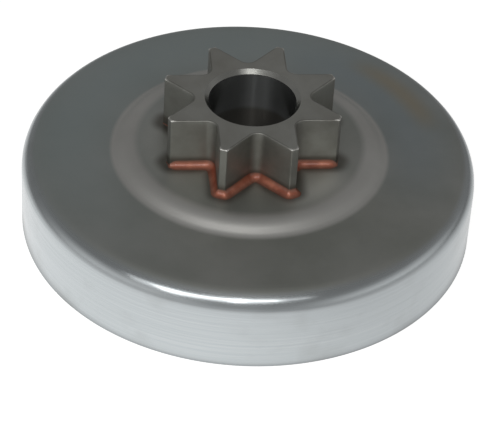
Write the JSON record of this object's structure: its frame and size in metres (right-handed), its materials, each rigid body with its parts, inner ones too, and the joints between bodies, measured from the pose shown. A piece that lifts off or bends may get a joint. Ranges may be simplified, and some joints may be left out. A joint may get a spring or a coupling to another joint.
{
  "type": "chainsaw clutch drum with spur sprocket",
  "caption": "Steel clutch drum of a chainsaw: a shallow pressed cup with a star-shaped spur sprocket brazed to its raised centre, bored for a needle bearing.",
  "frame": {"origin": "centre of the drum's open rim, in the plane that the rim stands on", "axes": "+Z along the axis of the bore, from the open rim towards the sprocket; +X through the middle of one tooth gap"},
  "size_m": [0.068, 0.068, 0.0225],
  "materials": {
    "drum_steel": "dull grey from the furnace on the closed face, bright and finely turned on the wall",
    "sprocket_steel": "dull, dark hardened steel",
    "braze_copper": "shiny copper that has run and set"
  },
  "bodies": {
    "root": {"clutch_drum": "drum_steel", "spur_sprocket": "sprocket_steel", "copper_braze": "braze_copper"}
  },
  "joints": []
}
